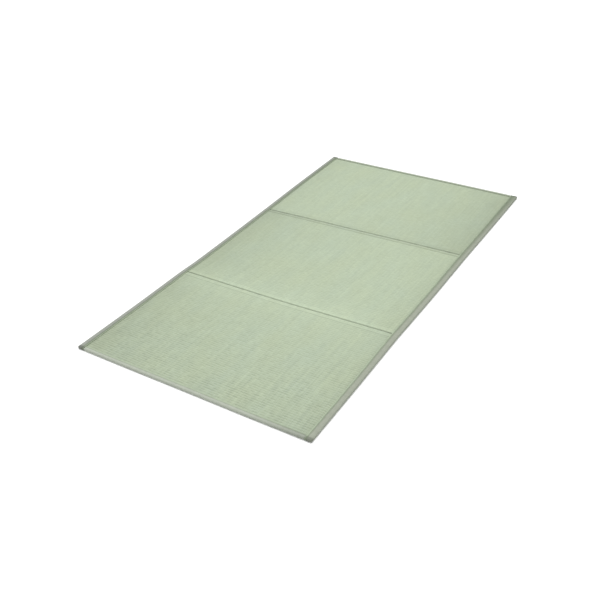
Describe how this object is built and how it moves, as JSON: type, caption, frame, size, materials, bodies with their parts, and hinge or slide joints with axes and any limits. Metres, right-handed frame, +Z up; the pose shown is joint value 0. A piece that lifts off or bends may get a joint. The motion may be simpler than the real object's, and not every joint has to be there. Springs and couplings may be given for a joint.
{
  "type": "folding tatami mat",
  "caption": "Pale green woven rush floor mat in hemmed folding panels, lying flat and open, bound along its edges with grey-green cloth tape.",
  "frame": {"origin": "middle of the mat's underside, on the floor", "axes": "+X across the mat to the right, +Y along the mat towards the back, +Z up through the mat"},
  "size_m": [0.908, 1.802, 0.01],
  "materials": {
    "woven_rush": "woven rush with a soft sheen",
    "long_tape_cloth": "matte plain-woven cotton tape",
    "short_tape_cloth": "matte plain-woven cotton tape"
  },
  "bodies": {
    "root": {"panel_front": "woven_rush", "panel_middle": "woven_rush", "panel_back": "woven_rush", "binding_left": "long_tape_cloth", "binding_right": "long_tape_cloth", "binding_front": "short_tape_cloth", "binding_back": "short_tape_cloth"}
  },
  "joints": []
}
